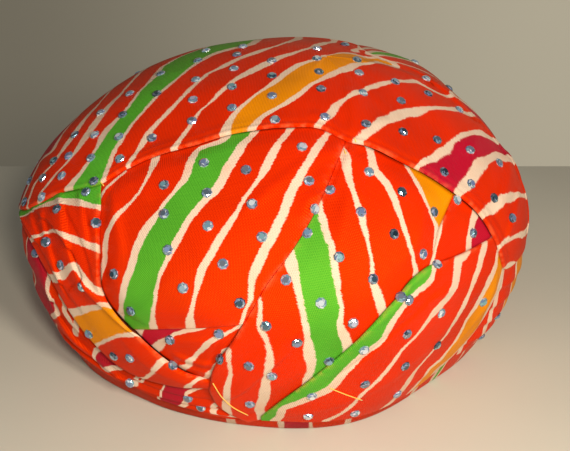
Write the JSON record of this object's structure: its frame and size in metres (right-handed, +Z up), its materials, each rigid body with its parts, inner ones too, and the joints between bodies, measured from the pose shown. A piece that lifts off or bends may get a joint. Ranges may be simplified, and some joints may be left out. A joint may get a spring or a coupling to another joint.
{
  "type": "tied turban pagri",
  "caption": "Ready-tied cloth turban with an oval head hollow below, folded front panels, a crown drape and pleated side bands.",
  "frame": {"origin": "middle of the bounding box on the floor that the turban rests on", "axes": "+Z up, the front faces -Y, the side at the right of the front view is +X"},
  "size_m": [0.2897, 0.2741, 0.1685],
  "materials": {
    "inner_cloth": "matte wound cotton cloth",
    "leheria_cloth": "striped tie-dyed cotton with a faint sheen",
    "seam_thread": "yellow sewing thread",
    "cut_glass": "foil-backed cut glass stones"
  },
  "bodies": {
    "root": {"inner_wraps": "inner_cloth", "crown_drape": "leheria_cloth", "left_front_panel": "leheria_cloth", "right_front_panel": "leheria_cloth", "right_side_fold": "leheria_cloth", "under_fold": "leheria_cloth", "left_band": "leheria_cloth", "right_band": "leheria_cloth", "back_drape": "leheria_cloth", "back_band": "leheria_cloth", "left_rim_wrap": "leheria_cloth", "lower_rim_wrap": "leheria_cloth"}
  },
  "joints": []
}
